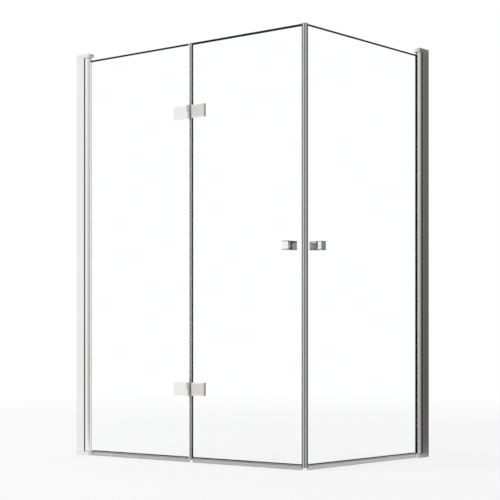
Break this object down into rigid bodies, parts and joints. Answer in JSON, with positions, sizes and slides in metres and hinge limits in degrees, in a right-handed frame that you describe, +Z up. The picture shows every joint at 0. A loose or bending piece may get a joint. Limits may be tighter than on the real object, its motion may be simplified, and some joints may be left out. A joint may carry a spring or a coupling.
{
  "type": "folding bath screen",
  "caption": "Corner bath screen of clear frameless glass: a folding screen that pivots on its wall profile and a pivoting side panel, closed by magnet seals.",
  "frame": {"origin": "middle of the whole screen's box, on the bath rim", "axes": "+X along the folding screen from its wall to the corner, +Y along the side panel from the corner to its wall, +Z up; the bath is on the +Y side of the folding screen and the -X side of the side panel"},
  "size_m": [1.012, 0.7122, 1.4],
  "materials": {
    "clear_glass": "clear toughened float glass with ground, faintly green edges",
    "profile_aluminium": "bright anodised, polished",
    "pivot_chrome": "polished, slightly warm",
    "hinge_chrome": "satin chrome",
    "knob_chrome": "polished",
    "clear_pvc": "clear soft extrusion",
    "magnet_rubber": "matt flexible magnet",
    "pad_rubber": "translucent grey pad",
    "white_nylon": "moulded nylon",
    "stainless_steel": "bright drawn"
  },
  "bodies": {
    "wall_frames": {"front_wall_profile": "profile_aluminium", "front_adjusting_profile": "profile_aluminium", "front_lock_screws": "stainless_steel", "front_top_cap": "profile_aluminium", "front_bottom_cap": "profile_aluminium", "front_cap_screws": "stainless_steel", "front_pivot_bushes": "white_nylon", "side_wall_profile": "profile_aluminium", "side_adjusting_profile": "profile_aluminium", "side_lock_screws": "stainless_steel", "side_top_cap": "profile_aluminium", "side_bottom_cap": "profile_aluminium", "side_cap_screws": "stainless_steel", "side_pivot_bushes": "white_nylon"},
    "front_panel": {"front_pivot_tube": "pivot_chrome", "front_pivot_pins": "stainless_steel", "front_glazing_gasket": "clear_pvc", "front_glass": "clear_glass", "front_bottom_seal": "clear_pvc", "fold_buffer_seal": "clear_pvc", "fixed_hinge_leaves": "hinge_chrome", "fixed_hinge_clamps": "hinge_chrome", "fixed_hinge_pads": "pad_rubber", "fixed_hinge_screws": "stainless_steel", "hinge_pins": "stainless_steel", "hinge_washers": "white_nylon"},
    "folding_panel": {"folding_glass": "clear_glass", "folding_bottom_seal": "clear_pvc", "fold_bulb_seal": "clear_pvc", "moving_hinge_leaves": "hinge_chrome", "moving_hinge_clamps": "hinge_chrome", "moving_hinge_pads": "pad_rubber", "moving_hinge_screws": "stainless_steel", "front_magnet_seal": "clear_pvc", "front_magnet_strip": "magnet_rubber", "front_knob_outer": "knob_chrome", "front_knob_inner": "knob_chrome", "front_knob_stud": "stainless_steel", "front_knob_washers": "white_nylon"},
    "side_panel": {"side_pivot_tube": "pivot_chrome", "side_pivot_pins": "stainless_steel", "side_glazing_gasket": "clear_pvc", "side_glass": "clear_glass", "side_bottom_seal": "clear_pvc", "side_magnet_seal": "clear_pvc", "side_magnet_strip": "magnet_rubber", "side_knob_outer": "knob_chrome", "side_knob_inner": "knob_chrome", "side_knob_stud": "stainless_steel", "side_knob_washers": "white_nylon"}
  },
  "joints": [
    {"name": "front_pivot", "type": "hinge", "parent": "wall_frames", "child": "front_panel", "pos_m": [-0.46, -0.3339, 0.7], "axis": [0, 0, -1], "range_deg": [0, 75]},
    {"name": "panel_fold", "type": "hinge", "parent": "front_panel", "child": "folding_panel", "pos_m": [0.0195, -0.3489, 0.7], "axis": [0, 0, -1], "range_deg": [0, 180]},
    {"name": "side_pivot", "type": "hinge", "parent": "wall_frames", "child": "side_panel", "pos_m": [0.488, 0.3101, 0.7], "axis": [0, 0, 1], "range_deg": [0, 90]}
  ]
}
